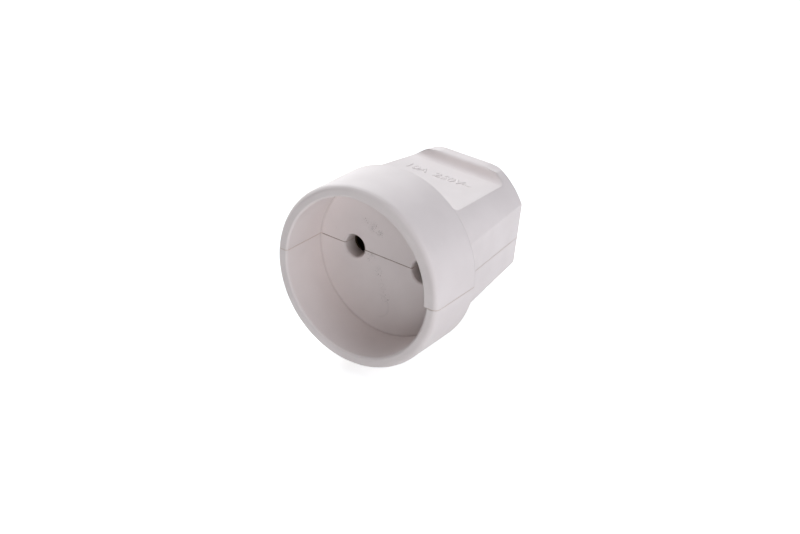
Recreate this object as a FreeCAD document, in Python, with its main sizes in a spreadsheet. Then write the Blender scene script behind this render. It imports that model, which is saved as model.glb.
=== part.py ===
import FreeCAD, Part
import os
import re
import Sketcher

# Inline socket connector: a moulded two-part housing with a round cup for the plug, two slit brass
# contacts behind the cup floor, a cord clamp at the rear and one screw that holds the shells together.
#
# Every piece is drawn in a straight frame: the mouth of the cup lies in the plane Y = 0, the plug's axis
# runs along +Y and the parting plane is Z = 0. The placements then lay the whole socket down as it comes
# to rest, on the rear edge of its collar and on the ridge at the rear of its underside.

# Driving sizes in millimetres, each with the words that say what it is
SIZES = [
    ("cup_radius", "19.45", "cup that takes the plug, inside"),
    ("collar_wall", "2.82", "wall of the collar, round the cup"),
    ("collar_length", "16.1", "mouth to the rear of the collar"),
    ("cup_depth", "13.35", "mouth to the cup floor"),
    ("floor_thickness", "4", "cup floor"),
    ("rim_round", "1.3", "outer edge of the mouth"),
    ("rim_chamfer", "0.4", "inner edge of the mouth"),
    ("pin_pitch", "19", "between the two pin holes"),
    ("pin_hole_radius", "2.75", "pin hole in the cup floor"),
    ("pin_mouth_chamfer", "0.3", "edge of a pin hole"),
    ("flat_front_cut", "3.42", "how far a side flat is set in from the collar"),
    ("flat_taper", "2.45", "how far a side flat has drawn in at the rear end"),
    ("crease_front_height", "8.2", "middle to the upper edge of a side flat, at the collar"),
    ("crease_rear_height", "8.9", "middle to the upper edge of a side flat, at the rear end"),
    ("crease_round", "0.9", "upper edge of a side flat"),
    ("shoulder_front_bulge", "0.72", "shoulder's radius beyond the half width, at the collar"),
    ("shoulder_rear_bulge", "2.4", "shoulder's radius beyond the half width, at the rear end"),
    ("chamfer_front_height", "8.9", "middle to the lower edge of a side flat, at the collar"),
    ("chamfer_rear_height", "6.9", "middle to the lower edge of a side flat, at the rear end"),
    ("chamfer_round", "1", "lower edge of a side flat"),
    ("recess_front_height", "16.05", "middle to the thumb recess, at the collar"),
    ("recess_rear_height", "14.1", "middle to the thumb recess, at the foot of the ridge"),
    ("recess_front_round", "3", "hollow round where a recess rises to the collar"),
    ("recess_round", "1.5", "hollow round at the foot of a ridge"),
    ("ridge_length", "4.2", "foot of the ridge to the rear end"),
    ("ridge_lean", "0.6", "how far the face of the ridge leans back"),
    ("ridge_rise", "2.55", "foot to the top of the ridge"),
    ("keel_rise", "3.18", "foot to the top of the ridge of the underside"),
    ("ridge_end_width", "1.6", "bevel at an end of the ridge, half its width"),
    ("ridge_end_drop", "0.7", "bevel at an end of the ridge, from its inner to its outer edge"),
    ("ridge_round", "0.7", "front edge of a ridge"),
    ("rear_round", "0.7", "outer edge of the rear end, below"),
    ("rear_chamfer", "0.5", "outer edge of the rear end, above"),
    ("wall", "2", "wall of the grip, at its thinnest"),
    ("rear_wall", "2.3", "wall with the cord entry"),
    ("cord_radius", "4", "cord entry"),
    ("parting_gap", "0.12", "open seam between the shells"),
    ("root", "0.5", "how far a rib or boss reaches into the wall that carries it"),
    ("fit_gap", "0.15", "clearance round a piece that lies in the housing"),
    ("thread_gap", "0.05", "clearance round a screw in its hole"),
    ("web_thickness", "2.6", "cross web"),
    ("boss_wall", "1", "wall of the boss, round the head of the housing screw"),
    ("dowel_radius", "0.9", "locating dowel"),
    ("dowel_height", "1.8", "locating dowel above the parting plane"),
    ("dowel_pitch", "31", "between the two dowels"),
    ("sleeve_length", "7.1", "front of the contact to its flange"),
    ("sleeve_radius", "3", "contact sleeve, outside"),
    ("pin_bore_radius", "2.4", "contact sleeve, inside"),
    ("pin_bore_depth", "15.2", "front of the contact to the end of the pin's bore"),
    ("contact_length", "20", "contact, front to rear"),
    ("flange_radius", "3.4", "flange in front of the web"),
    ("flange_length", "1.6", "flange in front of the web, along the contact"),
    ("waist_radius", "2.8", "waist of the contact, in the web"),
    ("pillar_radius", "3.3", "terminal pillar behind the web"),
    ("wire_bore_radius", "1.4", "bore for the wire"),
    ("slit_width", "0.8", "slit of the sleeve"),
    ("slit_length", "6.4", "slit of the sleeve, along the contact"),
    ("spring_front", "1.5", "front of the contact to the spring ring"),
    ("spring_width", "3.5", "spring ring, along the contact"),
    ("spring_thickness", "0.5", "spring ring"),
    ("spring_opening", "1.4", "gap in the spring ring"),
    ("terminal_screw_radius", "1.25", "terminal screw, thread"),
    ("terminal_screw_inset", "2.2", "terminal screw to the rear of the contact"),
    ("terminal_screw_tip", "0.4", "middle to the tip of the terminal screw"),
    ("terminal_head_radius", "2.2", "terminal screw, head"),
    ("terminal_head_height", "1.8", "terminal screw, height of the head"),
    ("clamp_pitch", "13.6", "between the two clamp screws"),
    ("clamp_room", "6.4", "contacts to the rear wall, where the cord is clamped"),
    ("post_radius", "2.1", "post under the clamp bar"),
    ("post_top", "1.6", "parting plane to the top of a post"),
    ("anvil_drop", "2.6", "parting plane down to the rib under the cord"),
    ("anvil_width", "2", "rib under the cord"),
    ("bar_width", "4", "clamp bar"),
    ("bar_overhang", "2.6", "clamp screw to the end of the bar"),
    ("bar_thickness", "2.2", "thickness of the clamp bar"),
    ("bar_round", "1.2", "corners of the clamp bar"),
    ("bar_hole_gap", "0.2", "clearance round a clamp screw in the bar"),
    ("clamp_screw_radius", "1.3", "clamp screw, thread"),
    ("clamp_screw_length", "8.5", "clamp screw under its head"),
    ("clamp_head_radius", "1.9", "clamp screw, head"),
    ("clamp_head_height", "1.6", "clamp screw, height of the head"),
    ("drive_width", "0.7", "slot in a screw head"),
    ("drive_depth", "0.8", "depth of the slot in a screw head"),
    ("housing_screw_radius", "1.8", "housing screw, thread"),
    ("housing_seat_drop", "9", "parting plane down to the seat of the housing screw's head"),
    ("housing_screw_reach", "8", "parting plane up to the tip of the housing screw"),
    ("housing_head_radius", "3", "housing screw, head"),
    ("housing_head_height", "2.6", "housing screw, height of the head"),
]

# Places and slopes that follow from the driving sizes
DERIVED = [
    ("collar_radius", "cup_radius + collar_wall"),
    ("cavity_front", "cup_depth + floor_thickness"),
    ("contact_front", "cavity_front + fit_gap"),
    ("cavity_rear", "contact_front + contact_length + clamp_room"),
    ("total_length", "cavity_rear + rear_wall"),
    ("grip_length", "total_length - collar_length"),
    ("flat_front_half", "collar_radius - flat_front_cut"),
    ("flat_rear_half", "flat_front_half - flat_taper"),
    ("flat_slope", "flat_taper / grip_length"),
    ("shoulder_front_radius", "flat_front_half + shoulder_front_bulge"),
    ("shoulder_rear_radius", "flat_rear_half + shoulder_rear_bulge"),
    ("shoulder_slope", "(shoulder_front_radius - shoulder_rear_radius) / grip_length"),
    ("centre_front", "crease_front_height - sqrt(shoulder_front_radius^2 - flat_front_half^2)"),
    ("centre_rear", "crease_rear_height - sqrt(shoulder_rear_radius^2 - flat_rear_half^2)"),
    ("centre_slope", "(centre_front - centre_rear) / grip_length"),
    ("chamfer_slope", "(chamfer_front_height - chamfer_rear_height) / grip_length"),
    ("ridge_height", "recess_rear_height + ridge_rise"),
    ("keel_height", "recess_rear_height + keel_rise"),
    ("ridge_half", "sqrt(shoulder_rear_radius^2 - (ridge_height - centre_rear)^2)"),
    ("ridge_foot", "total_length - ridge_length"),
    ("ridge_edge", "ridge_foot + ridge_lean"),
    ("recess_slope", "(recess_front_height - recess_rear_height) / (ridge_foot - collar_length)"),
    ("waist_front", "sleeve_length + flange_length"),
    ("waist_rear", "waist_front + web_thickness + 2 * fit_gap"),
    ("web_front", "contact_front + waist_front + fit_gap"),
    ("web_middle", "web_front + web_thickness / 2"),
    ("boss_radius", "housing_head_radius + fit_gap + boss_wall"),
    ("dowel_station", "cup_depth + floor_thickness / 2"),
    ("spring_radius", "sleeve_radius + thread_gap"),
    ("terminal_place", "contact_length - terminal_screw_inset"),
    ("terminal_shank", "pillar_radius + fit_gap - terminal_screw_tip"),
    ("clamp_station", "cavity_rear - clamp_room / 2"),
    ("bar_top", "post_top + bar_thickness"),
    ("bar_half_length", "clamp_pitch / 2 + bar_overhang"),
    ("housing_shank", "housing_seat_drop + housing_screw_reach"),
    ("rear_round_station", "total_length - rear_round"),
    ("rest_rise", "collar_radius - keel_height + rear_round"),
    ("rest_reach", "rear_round_station - collar_length"),
    ("rest_span", "sqrt(rest_rise^2 + rest_reach^2)"),
    ("rest_angle", "atan(rest_rise / rest_reach) - asin(rear_round / rest_span)"),
    ("rest_lift", "collar_length * sin(rest_angle) + collar_radius * cos(rest_angle)"),
    ("rest_front", "rim_round * (cos(rest_angle) - 1) - (collar_radius - rim_round) * sin(rest_angle)"),
    ("rest_rear", "total_length * cos(rest_angle) + (ridge_height - rear_chamfer) * sin(rest_angle)"),
    ("rest_shift", "-(rest_front + rest_rear) / 2"),
]

# How near a point counts as being at a place, the least change of volume that counts as one, and the number
# of small steps in which the rim and the front of the recess are rounded
NEAR = 0.01
LEAST_CHANGE = 0.01
ROUND_STEPS = 4

doc = FreeCAD.newDocument("inline_socket")
sheet = doc.addObject("Spreadsheet::Sheet", "Sizes")
rows = SIZES + [(name, "=" + formula, "follows from the sizes above") for name, formula in DERIVED]
for row, (name, text, words) in enumerate(rows, 1):
    sheet.set(f"A{row}", words)
    sheet.set(f"B{row}", text)
    sheet.setAlias(f"B{row}", name)
doc.recompute()
NAMES = {name for name, text, words in rows}


def sized(text):
    """An expression that reads the sheet, from one written with the plain names of sizes."""
    return re.sub(r"[a-z_]+", lambda word: f"Sizes.{word[0]}" if word[0] in NAMES else word[0], text)


def number(text):
    """What such an expression comes to now."""
    return float(sheet.evalExpression(sized(text)))


# Sketches

def sketch(body, name, role, offset="0", turn=0):
    """An empty sketch on one of the body's origin planes, moved along the normal or turned about its own X."""
    plane = next(item for item in body.Origin.OriginFeatures if item.Role == role)
    made = body.newObject("Sketcher::SketchObject", name)
    made.AttachmentSupport = [(plane, "")]
    made.MapMode = "FlatFace"
    made.AttachmentOffset = FreeCAD.Placement(FreeCAD.Vector(), FreeCAD.Rotation(FreeCAD.Vector(1, 0, 0), turn))
    made.setExpression("AttachmentOffset.Base.z", sized(offset))
    return made


def across(body, name, station):
    """A sketch across the plug's axis at a distance from the mouth: X to the right, Z up."""
    return sketch(body, name, "XZ_Plane", f"-({station})")


def tie(made, geometry, point, x, y):
    """Ties a point of a sketch to two expressions."""
    for kind, text, axis in (("DistanceX", x, -2), ("DistanceY", y, -1)):
        if text == "0":
            made.addConstraint(Sketcher.Constraint("PointOnObject", geometry, point, axis))
        else:
            index = made.addConstraint(Sketcher.Constraint(kind, -1, 1, geometry, point, number(text)))
            made.setExpression(f"Constraints[{index}]", sized(text))


def polygon(made, corners):
    """Adds a closed outline through corners that are pairs of expressions."""
    first = made.GeometryCount
    places = [FreeCAD.Vector(number(x), number(y), 0) for x, y in corners]
    for start, end in zip(places, places[1:] + places[:1]):
        made.addGeometry(Part.LineSegment(start, end))
    for index in range(len(corners)):
        following = (index + 1) % len(corners)
        made.addConstraint(Sketcher.Constraint("Coincident", first + index, 2, first + following, 1))
    for index, (x, y) in enumerate(corners):
        tie(made, first + index, 1, x, y)


def rectangle(made, left, right, bottom, top):
    polygon(made, [(left, bottom), (right, bottom), (right, top), (left, top)])


def circle(made, x, y, radius):
    centre = FreeCAD.Vector(number(x), number(y), 0)
    index = made.addGeometry(Part.Circle(centre, FreeCAD.Vector(0, 0, 1), number(radius)))
    tie(made, index, 3, x, y)
    rule = made.addConstraint(Sketcher.Constraint("Radius", index, number(radius)))
    made.setExpression(f"Constraints[{rule}]", sized(radius))


def pair(made, pitch, y, radius):
    """Adds two equal circles on either side of the middle."""
    for side in ("", "-"):
        circle(made, f"{side}{pitch} / 2", y, radius)


# Features

def volume(body):
    return body.Tip.Shape.Volume if body.Tip else 0.0


def settle(body, made, before, growing):
    """Works a feature out and makes sure that it added or removed something."""
    doc.recompute()
    change = made.Shape.Volume - before
    if abs(change) < LEAST_CHANGE or (change > 0) != growing:
        raise ValueError(f"{body.Label}: {made.Name} changes the volume by {change:.3f}")


def extrude(body, kind, name, profile, length, reverse=False, both=False):
    """A Pad or a Pocket of a sketch, along its normal, against it or both ways."""
    before = volume(body)
    made = body.newObject(f"PartDesign::{kind}", name)
    made.Profile = profile
    made.SideType = "Symmetric" if both else "One side"
    made.Reversed = reverse
    made.setExpression("Length", sized(length))
    settle(body, made, before, kind == "Pad")


def revolve(body, name, profile, angle=360, reverse=False):
    """Turns a sketch about its own vertical axis."""
    before = volume(body)
    made = body.newObject("PartDesign::Revolution", name)
    made.Profile = profile
    made.ReferenceAxis = (profile, ["V_Axis"])
    made.Angle = angle
    made.Reversed = reverse
    settle(body, made, before, True)


def loft(body, name, profile, section):
    """Adds all that lies between two sketches."""
    before = volume(body)
    made = body.newObject("PartDesign::AdditiveLoft", name)
    made.Profile = profile
    made.Sections = [section]
    made.Ruled = True
    settle(body, made, before, True)


def soften(body, kind, name, size, chosen):
    """A Fillet or a Chamfer on the edges that a test picks."""
    base = body.Tip
    edges = [f"Edge{index}" for index, edge in enumerate(base.Shape.Edges, 1) if chosen(edge)]
    if not edges:
        raise ValueError(f"{body.Label}: no edge for {name}")
    made = body.newObject(f"PartDesign::{kind}", name)
    made.Base = (base, edges)
    made.setExpression("Radius" if kind == "Fillet" else "Size", sized(size))
    doc.recompute()


def lies(edge, x=None, y=None, z=None):
    """Does the whole edge lie at the given coordinates?"""
    box = edge.BoundBox
    spans = ((x, box.XMin, box.XMax), (y, box.YMin, box.YMax), (z, box.ZMin, box.ZMax))
    return all(at is None or max(abs(low - at), abs(high - at)) < NEAR for at, low, high in spans)


def ends_at(edge, start, end):
    """Does the edge run between these two places, either way round?"""
    points = [vertex.Point for vertex in edge.Vertexes]
    if len(points) != 2:
        return False
    return any(
        a.distanceToPoint(start) < NEAR and b.distanceToPoint(end) < NEAR for a, b in (points, points[::-1])
    )


# Housing

def falling(front, slope, station):
    """A size that gets smaller from the collar to the rear end, at a distance from the mouth."""
    return f"({front} - {slope} * ({station} - collar_length))"


def recess(station):
    return falling("recess_front_height", "recess_slope", station)


# Half width and height of the space for the works, with the walls at their thinnest at its rear end
INNER_HALF = falling("flat_front_half", "flat_slope", "cavity_rear") + " - wall"
INNER_TOP = recess("cavity_rear") + " - wall"


def upper_section(reach):
    """Corners of the upper half of the space for the works, larger by reach."""
    half = f"({INNER_HALF} + {reach})"
    top = f"({INNER_TOP} + {reach})"
    radius = f"({falling('shoulder_front_radius', 'shoulder_slope', 'cavity_rear')} - wall + {reach})"
    centre = falling("centre_front", "centre_slope", "cavity_rear")
    turn = f"({centre} + sqrt({radius}^2 - {half}^2))"
    shoulder = f"sqrt({radius}^2 - ({top} - {centre})^2)"
    right = [(half, "0"), (half, turn), (shoulder, top)]
    return right + [(f"-{x}", z) for x, z in right[::-1]]


def lower_section(reach):
    """Corners of the lower half of the space for the works, larger by reach."""
    half = f"({INNER_HALF} + {reach})"
    depth = f"({INNER_TOP} + {reach})"
    edge = falling("chamfer_front_height", "chamfer_slope", "cavity_rear")
    turn = f"({edge} - (wall - {reach}) * (sqrt(2) - 1))"
    keel = f"({half} + {turn} - {depth})"
    right = [(half, "0"), (half, f"-{turn}"), (keel, f"-{depth}")]
    return right + [(f"-{x}", z) for x, z in right[::-1]]


def half_round(body, up, length):
    """Half of a round bar as thick as the collar, with a rim that is rounded in a few steps."""
    corners = [("0", "0"), ("collar_radius - rim_round", "0")]
    for step in range(1, ROUND_STEPS):
        turn = 90 * step / ROUND_STEPS
        corners.append((f"collar_radius - rim_round * (1 - sin({turn}))", f"rim_round * (1 - cos({turn}))"))
    corners += [("collar_radius", "rim_round"), ("collar_radius", length), ("0", length)]
    outline = sketch(body, "outline", "XY_Plane")
    polygon(outline, corners)
    revolve(body, "round_bar", outline, 180, reverse=up)


def side_flats(body, up):
    sides = sketch(body, "side_flats", "XY_Plane")
    for side in ("", "-"):
        polygon(sides, [
            (f"{side}flat_front_half", "collar_length"),
            (f"{side}2 * collar_radius", "collar_length"),
            (f"{side}2 * collar_radius", "total_length"),
            (f"{side}flat_rear_half", "total_length"),
        ])
    extrude(body, "Pocket", "side_cut", sides, "2 * collar_radius", reverse=up)


def crease(side, front_height, rear_height):
    """End points of the long edge of a side flat."""
    start = FreeCAD.Vector(side * number("flat_front_half"), number("collar_length"), number(front_height))
    end = FreeCAD.Vector(side * number("flat_rear_half"), number("total_length"), number(rear_height))
    return start, end


def round_creases(body, name, size, front_height, rear_height):
    creases = [crease(side, front_height, rear_height) for side in (1, -1)]
    soften(body, "Fillet", name, size, lambda edge: any(ends_at(edge, *line) for line in creases))


def grip_recess(body, sign, ridge):
    """The sloping recess between the collar and the ridge at the rear, cut through from side to side."""
    foot = recess("collar_length + recess_front_round")
    rise = []
    for step in range(ROUND_STEPS + 1):
        turn = 90 * (1 - step / ROUND_STEPS)
        rise.append((f"collar_length + recess_front_round * (1 - sin({turn}))",
                     f"{sign}({foot} + recess_front_round * (1 - cos({turn})))"))
    profile = sketch(body, "recess_profile", "YZ_Plane")
    polygon(profile, rise + [
        ("ridge_foot", f"{sign}recess_rear_height"),
        ("ridge_edge", f"{sign}{ridge}"),
        ("total_length", f"{sign}{ridge}"),
        ("total_length", f"{sign}2 * collar_radius"),
        ("collar_length", f"{sign}2 * collar_radius"),
    ])
    extrude(body, "Pocket", "recess_cut", profile, "2 * collar_radius", both=True)
    station, height = number("ridge_foot"), number(f"{sign}recess_rear_height")
    soften(body, "Fillet", "ridge_foot", "recess_round", lambda edge: lies(edge, y=station, z=height))


def ridge_edges(body, ridge, kind, rear_size):
    """Softens the front edge of a ridge and the outer edge of the rear end."""
    front, rear, top = number("ridge_edge"), number("total_length"), number(ridge)
    soften(body, "Fillet", "ridge_front", "ridge_round", lambda edge: lies(edge, y=front, z=top))
    soften(body, kind, "rear_edge", rear_size,
           lambda edge: lies(edge, y=rear) and not lies(edge, z=0))


def hollow(body, up, section):
    """The cup, the pin holes, the space for the works, the cross web and the cord entry."""
    cup = across(body, "cup", "0")
    circle(cup, "0", "0", "cup_radius")
    extrude(body, "Pocket", "cup_cut", cup, "cup_depth")
    lip = number("cup_radius")
    soften(body, "Chamfer", "rim_inside", "rim_chamfer",
           lambda edge: lies(edge, y=0) and abs(edge.BoundBox.XMax - lip) < NEAR and edge.BoundBox.ZLength > NEAR)
    works = across(body, "works", "cavity_front")
    polygon(works, section("0"))
    extrude(body, "Pocket", "works_cut", works, "cavity_rear - cavity_front")
    web = across(body, "web", "web_front")
    polygon(web, section("root"))
    extrude(body, "Pad", "cross_web", web, "web_thickness", reverse=True)
    boss = sketch(body, "boss", "XY_Plane")
    circle(boss, "0", "web_middle", "boss_radius")
    extrude(body, "Pad", "screw_boss", boss, f"{INNER_TOP} + root", reverse=not up)
    cradles = across(body, "cradles", "web_front")
    pair(cradles, "pin_pitch", "0", "waist_radius + fit_gap")
    extrude(body, "Pocket", "cradle_cut", cradles, "web_thickness")
    pins = across(body, "pin_holes", "cup_depth")
    pair(pins, "pin_pitch", "0", "pin_hole_radius")
    extrude(body, "Pocket", "pin_cut", pins, "floor_thickness")
    floor, hole = number("cup_depth"), number("pin_hole_radius")
    soften(body, "Chamfer", "pin_mouths", "pin_mouth_chamfer",
           lambda edge: lies(edge, y=floor) and abs(edge.BoundBox.XLength - 2 * hole) < NEAR)
    cord = across(body, "cord_entry", "cavity_rear")
    circle(cord, "0", "0", "cord_radius")
    extrude(body, "Pocket", "cord_cut", cord, "rear_wall")


def make_upper_shell():
    body = doc.addObject("PartDesign::Body", "upper_shell")
    half_round(body, True, "collar_length")
    front = across(body, "grip_front", "collar_length")
    circle(front, "0", "centre_front", "shoulder_front_radius")
    rear = across(body, "grip_rear", "total_length")
    circle(rear, "0", "centre_rear", "shoulder_rear_radius")
    loft(body, "grip", front, rear)
    lower_half = sketch(body, "lower_half", "XY_Plane")
    rectangle(lower_half, "-2 * collar_radius", "2 * collar_radius", "-root", "total_length + root")
    extrude(body, "Pocket", "lower_half_cut", lower_half, "2 * collar_radius")
    side_flats(body, up=True)
    round_creases(body, "creases", "crease_round", "crease_front_height", "crease_rear_height")
    grip_recess(body, "", "ridge_height")
    ridge_edges(body, "ridge_height", "Chamfer", "rear_chamfer")
    ends = across(body, "ridge_ends", "ridge_foot")
    for side in ("", "-"):
        polygon(ends, [
            (f"{side}(ridge_half - ridge_end_width)", "ridge_height"),
            (f"{side}(ridge_half + ridge_end_width)", "ridge_height - ridge_end_drop"),
            (f"{side}(ridge_half + ridge_end_width)", "ridge_height + root"),
            (f"{side}(ridge_half - ridge_end_width)", "ridge_height + root"),
        ])
    extrude(body, "Pocket", "ridge_end_cut", ends, "ridge_length + root")
    hollow(body, True, upper_section)
    screw = sketch(body, "screw_hole", "XY_Plane")
    circle(screw, "0", "web_middle", "housing_screw_radius + thread_gap")
    extrude(body, "Pocket", "screw_cut", screw, "housing_screw_reach + root", reverse=True)
    dowels = sketch(body, "dowel_holes", "XY_Plane")
    pair(dowels, "dowel_pitch", "dowel_station", "dowel_radius + fit_gap")
    extrude(body, "Pocket", "dowel_cut", dowels, "dowel_height + fit_gap", reverse=True)
    seam = sketch(body, "seam", "XY_Plane")
    rectangle(seam, "-collar_radius - root", "collar_radius + root", "-root", "total_length + root")
    circle(seam, "0", "web_middle", "boss_radius")
    extrude(body, "Pocket", "seam_cut", seam, "parting_gap", reverse=True)
    return body


def make_lower_shell():
    body = doc.addObject("PartDesign::Body", "lower_shell")
    half_round(body, False, "total_length")
    side_flats(body, up=False)
    for side, turn in (("right", -45), ("left", 45)):
        chamfer = sketch(body, f"{side}_chamfer", "YZ_Plane", turn=turn)
        polygon(chamfer, [
            ("collar_length", "-(flat_front_half + chamfer_front_height) / sqrt(2)"),
            ("total_length", "-(flat_rear_half + chamfer_rear_height) / sqrt(2)"),
            ("total_length", "-2 * collar_radius"),
            ("collar_length", "-2 * collar_radius"),
        ])
        extrude(body, "Pocket", f"{side}_chamfer_cut", chamfer, "4 * collar_radius", both=True)
    round_creases(body, "creases", "chamfer_round", "-chamfer_front_height", "-chamfer_rear_height")
    grip_recess(body, "-", "keel_height")
    ridge_edges(body, "-keel_height", "Fillet", "rear_round")
    hollow(body, False, lower_section)
    screw = sketch(body, "screw_hole", "XY_Plane")
    circle(screw, "0", "web_middle", "housing_screw_radius + fit_gap")
    extrude(body, "Pocket", "screw_cut", screw, "collar_radius")
    seat = sketch(body, "screw_seat", "XY_Plane", "-housing_seat_drop")
    circle(seat, "0", "web_middle", "housing_head_radius + fit_gap")
    extrude(body, "Pocket", "seat_cut", seat, "collar_radius")
    dowels = sketch(body, "dowels", "XY_Plane")
    pair(dowels, "dowel_pitch", "dowel_station", "dowel_radius")
    extrude(body, "Pad", "dowel_pins", dowels, "dowel_height")
    floor = f"{INNER_TOP} + root"
    posts = sketch(body, "posts", "XY_Plane", "post_top")
    pair(posts, "clamp_pitch", "clamp_station", "post_radius")
    extrude(body, "Pad", "clamp_posts", posts, f"post_top + {floor}", reverse=True)
    anvil = sketch(body, "anvil", "XY_Plane", "-anvil_drop")
    rectangle(anvil, "post_radius / 2 - clamp_pitch / 2", "clamp_pitch / 2 - post_radius / 2",
              "clamp_station - anvil_width / 2", "clamp_station + anvil_width / 2")
    extrude(body, "Pad", "cord_anvil", anvil, f"{floor} - anvil_drop", reverse=True)
    pilots = sketch(body, "pilots", "XY_Plane", "post_top")
    pair(pilots, "clamp_pitch", "clamp_station", "clamp_screw_radius + thread_gap")
    extrude(body, "Pocket", "pilot_cut", pilots, "clamp_screw_length - bar_thickness + root")
    return body


# Contacts and fastenings, each drawn about its own origin

def make_contact(label):
    """A turned sleeve from its front at Y = 0: slit, flange, waist and terminal pillar."""
    body = doc.addObject("PartDesign::Body", label)
    profile = sketch(body, "profile", "XY_Plane")
    polygon(profile, [
        ("pin_bore_radius", "0"),
        ("sleeve_radius", "0"),
        ("sleeve_radius", "sleeve_length"),
        ("flange_radius", "sleeve_length"),
        ("flange_radius", "waist_front"),
        ("waist_radius", "waist_front"),
        ("waist_radius", "waist_rear"),
        ("pillar_radius", "waist_rear"),
        ("pillar_radius", "contact_length"),
        ("wire_bore_radius", "contact_length"),
        ("wire_bore_radius", "pin_bore_depth"),
        ("pin_bore_radius", "pin_bore_depth"),
    ])
    revolve(body, "turned", profile)
    slit = sketch(body, "slit", "XY_Plane")
    rectangle(slit, "-slit_width / 2", "slit_width / 2", "0", "slit_length")
    extrude(body, "Pocket", "slit_cut", slit, "4 * sleeve_radius", both=True)
    tapped = sketch(body, "tapped_hole", "XY_Plane")
    circle(tapped, "0", "terminal_place", "terminal_screw_radius + thread_gap")
    extrude(body, "Pocket", "tapped_cut", tapped, "2 * pillar_radius", reverse=True)
    return body


def make_spring(label):
    """A split ring with its gap on top."""
    body = doc.addObject("PartDesign::Body", label)
    ring = sketch(body, "ring", "XZ_Plane")
    circle(ring, "0", "0", "spring_radius")
    circle(ring, "0", "0", "spring_radius + spring_thickness")
    extrude(body, "Pad", "ring_band", ring, "spring_width", reverse=True)
    gap = sketch(body, "opening", "XZ_Plane")
    rectangle(gap, "-spring_opening / 2", "spring_opening / 2", "0", "2 * spring_radius")
    extrude(body, "Pocket", "opening_cut", gap, "spring_width")
    return body


def make_screw(label, radius, length, head_radius, head_height):
    """A slotted screw that stands on its tip."""
    body = doc.addObject("PartDesign::Body", label)
    profile = sketch(body, "profile", "XZ_Plane")
    polygon(profile, [
        ("0", "0"),
        (radius, "0"),
        (radius, length),
        (head_radius, length),
        (head_radius, f"{length} + {head_height}"),
        ("0", f"{length} + {head_height}"),
    ])
    revolve(body, "turned", profile)
    slot = sketch(body, "slot", "XY_Plane", f"{length} + {head_height}")
    rectangle(slot, "-drive_width / 2", "drive_width / 2", f"-{head_radius}", head_radius)
    extrude(body, "Pocket", "slot_cut", slot, "drive_depth")
    return body


def make_clamp_bar(label):
    body = doc.addObject("PartDesign::Body", label)
    plan = sketch(body, "plan", "XY_Plane")
    rectangle(plan, "-bar_half_length", "bar_half_length", "-bar_width / 2", "bar_width / 2")
    pair(plan, "clamp_pitch", "0", "clamp_screw_radius + bar_hole_gap")
    extrude(body, "Pad", "bar", plan, "bar_thickness")
    end = number("bar_half_length")
    soften(body, "Fillet", "bar_corners", "bar_round",
           lambda edge: lies(edge, x=end) and edge.BoundBox.ZLength > NEAR
           or lies(edge, x=-end) and edge.BoundBox.ZLength > NEAR)
    return body


# Assembly

def place(body, x, y, z, turn="0 deg"):
    """Puts a piece at its place in the straight frame and lays it down with the whole socket."""
    body.Placement = FreeCAD.Placement(FreeCAD.Vector(), FreeCAD.Rotation(FreeCAD.Vector(1, 0, 0), 1))
    body.setExpression("Placement.Rotation.Angle", sized(f"{turn} - rest_angle"))
    body.setExpression("Placement.Base.x", sized(x))
    body.setExpression("Placement.Base.y", sized(f"({y}) * cos(rest_angle) + ({z}) * sin(rest_angle) + rest_shift"))
    body.setExpression("Placement.Base.z", sized(f"({z}) * cos(rest_angle) - ({y}) * sin(rest_angle) + rest_lift"))
    pieces.append(body)


pieces = []
place(make_upper_shell(), "0", "0", "0")
place(make_lower_shell(), "0", "0", "0")
for hand, sign in (("left", "-"), ("right", "")):
    pin = f"{sign}pin_pitch / 2"
    place(make_contact(f"{hand}_contact"), pin, "contact_front", "0")
    place(make_spring(f"{hand}_contact_spring"), pin, "contact_front + spring_front", "0")
    terminal_screw = make_screw(f"{hand}_terminal_screw", "terminal_screw_radius", "terminal_shank",
                                "terminal_head_radius", "terminal_head_height")
    place(terminal_screw, pin, "contact_front + terminal_place", "terminal_screw_tip")
    clamp_screw = make_screw(f"{hand}_clamp_screw", "clamp_screw_radius", "clamp_screw_length",
                             "clamp_head_radius", "clamp_head_height")
    place(clamp_screw, f"{sign}clamp_pitch / 2", "clamp_station", "bar_top - clamp_screw_length")
place(make_clamp_bar("cord_clamp_bar"), "0", "clamp_station", "post_top")
housing_screw = make_screw("housing_screw", "housing_screw_radius", "housing_shank",
                           "housing_head_radius", "housing_head_height")
place(housing_screw, "0", "web_middle", "housing_screw_reach", turn="180 deg")
doc.recompute()

# Checks before anything is written
failed = [item.Name for item in doc.Objects if {"Invalid", "Error"} & set(item.State)]
if failed:
    raise ValueError(f"not worked out: {failed}")
for piece in pieces:
    shape = piece.Shape
    if shape.isNull() or not shape.isValid() or len(shape.Solids) != 1:
        raise ValueError(f"{piece.Label} is not one valid solid")

os.makedirs("parts", exist_ok=True)
for piece in pieces:
    piece.Shape.exportStep(f"parts/{piece.Label}.step")
    box = piece.Shape.BoundBox
    print(f"{piece.Label}: {piece.Shape.Volume:.1f} mm3, {box.XLength:.2f} x {box.YLength:.2f} x {box.ZLength:.2f} mm")
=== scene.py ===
# %% [markdown]
# # A white inline socket
#
# The object is a small household socket for the end of a cord: a round cup that takes a plug, a tapered
# grip with flat sides behind it, and a thumb recess with a ridge on top. Its solid pieces come ready made
# as a fixed frame. This lesson gives them their finishes, adds the small things that a mould and some use
# leave behind, and sets up light and camera.

# %% Load the frame
import math

import bmesh
import bpy
from mathutils import Matrix, Vector


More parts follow.
